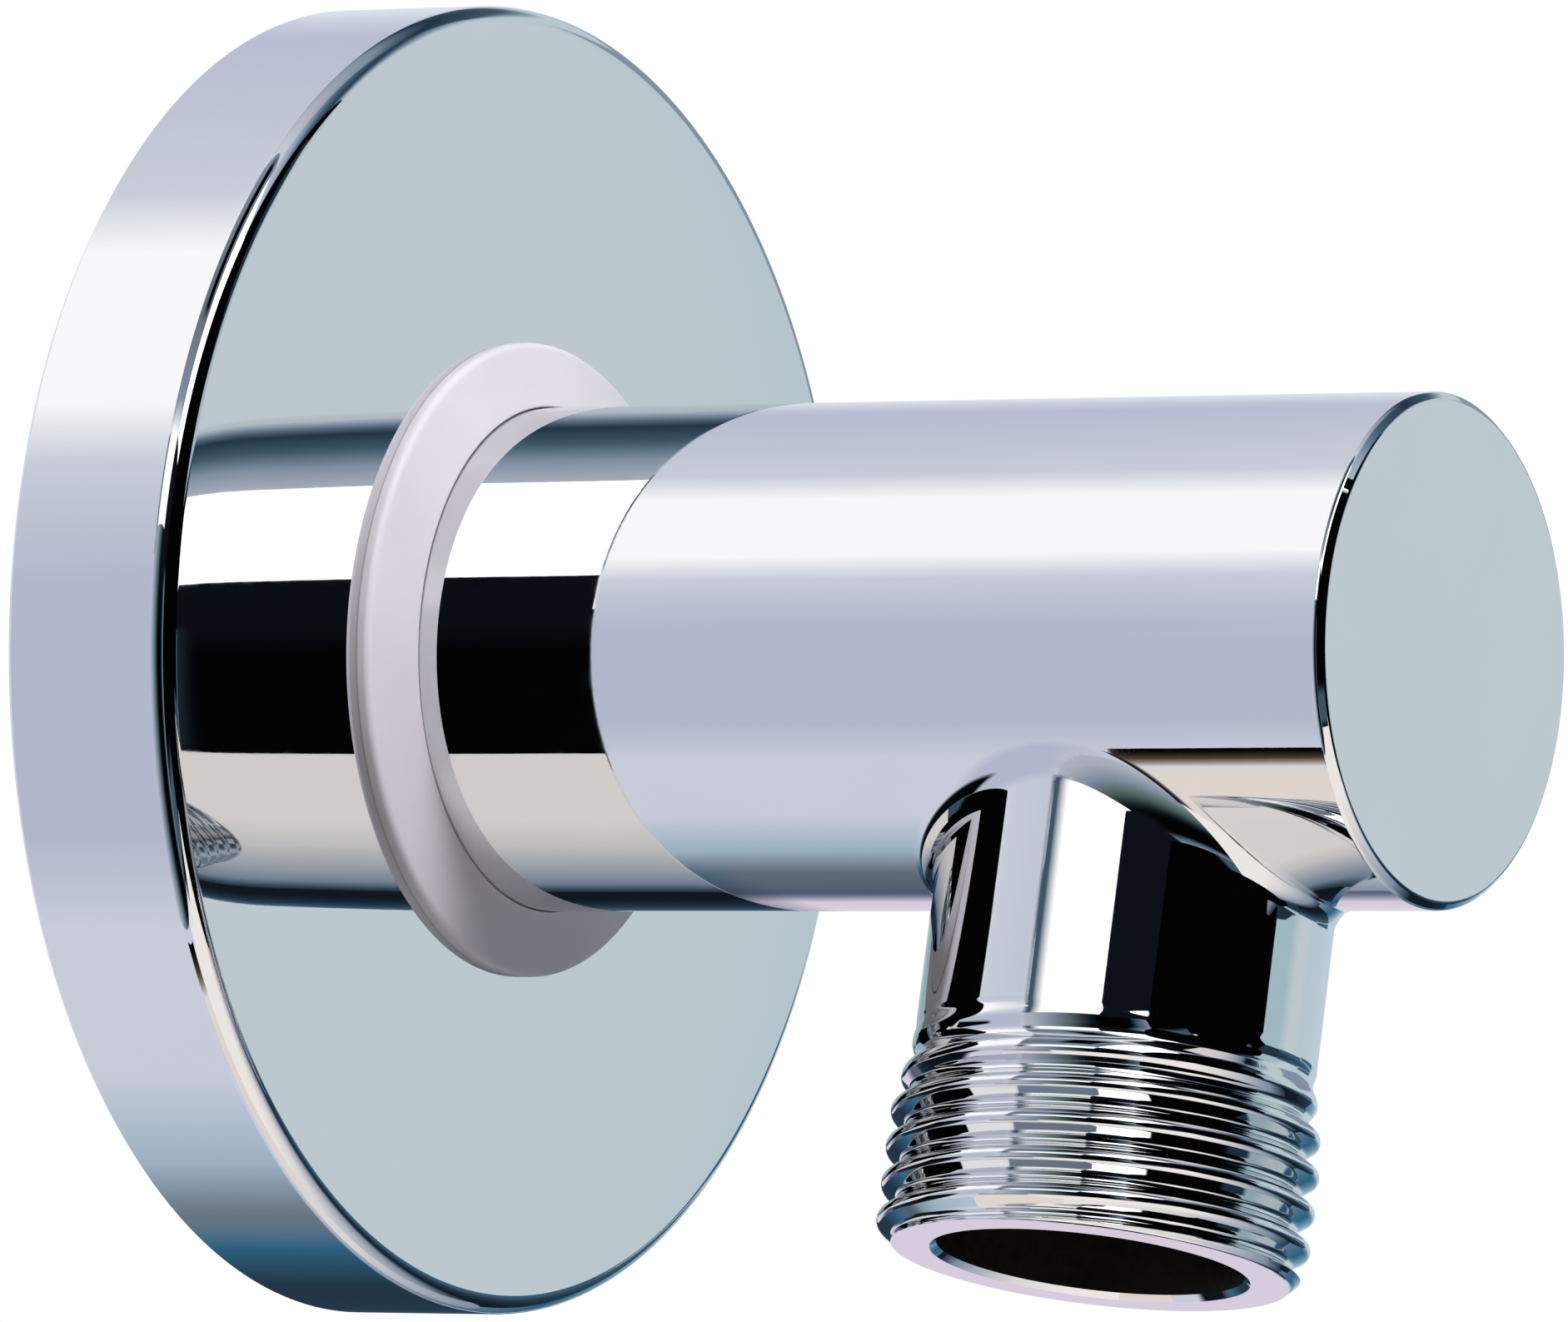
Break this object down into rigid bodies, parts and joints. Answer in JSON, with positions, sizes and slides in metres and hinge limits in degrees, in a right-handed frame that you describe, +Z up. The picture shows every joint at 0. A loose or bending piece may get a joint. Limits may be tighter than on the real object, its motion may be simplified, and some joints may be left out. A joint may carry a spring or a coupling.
{
  "type": "wall outlet elbow",
  "caption": "Chromed wall outlet elbow: a straight barrel with a threaded hose outlet pointing down, a round rosette that slides and turns on it and a translucent sealing ring.",
  "frame": {"origin": "on the barrel axis in the wall plane, where the inlet thread meets its shoulder", "axes": "+Y into the wall along the inlet thread, +Z up, outlet along -Z"},
  "size_m": [0.065, 0.0745, 0.065],
  "materials": {
    "chrome_plate": "mirror-polished chrome plate on brass",
    "milky_plastic": "translucent moulded plastic, satin"
  },
  "bodies": {
    "elbow": {"elbow_body": "chrome_plate"},
    "ring": {"sealing_ring": "milky_plastic"},
    "rosette_cover": {"rosette": "chrome_plate"}
  },
  "joints": [
    {"name": "rosette_slide", "type": "slide", "parent": "elbow", "child": "ring", "axis": [0, -1, 0], "range_m": [0, 0.0235]},
    {"name": "rosette_turn", "type": "hinge", "parent": "ring", "child": "rosette_cover", "pos_m": [0, 0, 0], "axis": [0, -1, 0], "continuous": true}
  ]
}
